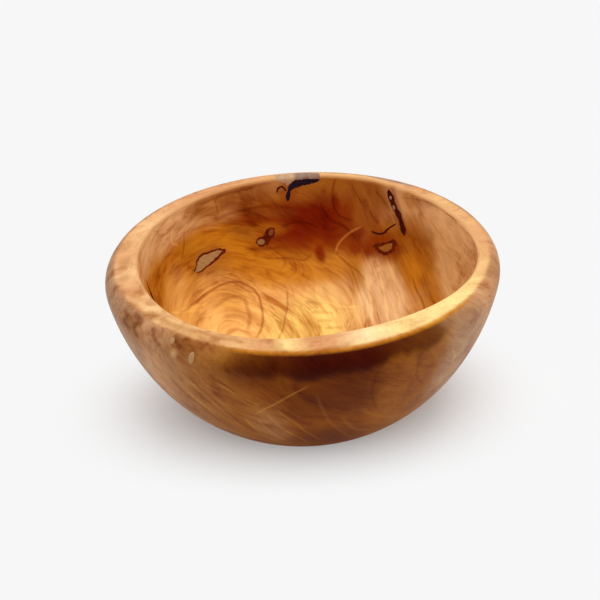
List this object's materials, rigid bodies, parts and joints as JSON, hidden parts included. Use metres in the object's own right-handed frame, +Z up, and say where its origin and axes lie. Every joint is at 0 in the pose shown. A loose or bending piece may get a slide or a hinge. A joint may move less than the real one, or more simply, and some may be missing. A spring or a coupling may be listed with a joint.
{
  "type": "yarn bowl",
  "caption": "Round turned olive-wood bowl with an open hollow for a ball of yarn, a flat rim, and bark and branch stubs set in its wall.",
  "frame": {"origin": "middle of the foot, on the surface that the bowl stands on", "axes": "+Z up through the mouth; -Y is the front, and the mended gap in the rim is on the +Y side"},
  "size_m": [0.14, 0.14, 0.064],
  "materials": {
    "olive_wood": "oiled, satin gloss",
    "stub_wood": "dry, matt",
    "red_brown_bark": "oiled, satin",
    "black_bark": "oiled, satin",
    "grey_filler": "set filler, gloss",
    "cream_filler": "wood dust and glue, sanded, satin"
  },
  "bodies": {
    "root": {"turned_bowl": "olive_wood", "long_stub": "stub_wood", "lower_twin_stub": "stub_wood", "upper_twin_stub": "stub_wood", "healed_stub": "stub_wood", "upper_pin_knot": "stub_wood", "lower_pin_knot": "stub_wood", "long_stub_bark": "red_brown_bark", "twin_bark": "red_brown_bark", "healed_bark": "red_brown_bark", "bark_thread": "red_brown_bark", "bark_seam": "red_brown_bark", "bark_splinter": "red_brown_bark", "arch_bark": "red_brown_bark", "rim_bark": "black_bark", "upper_seam_filler": "grey_filler", "lower_seam_filler": "grey_filler", "rim_filler": "cream_filler"}
  },
  "joints": []
}
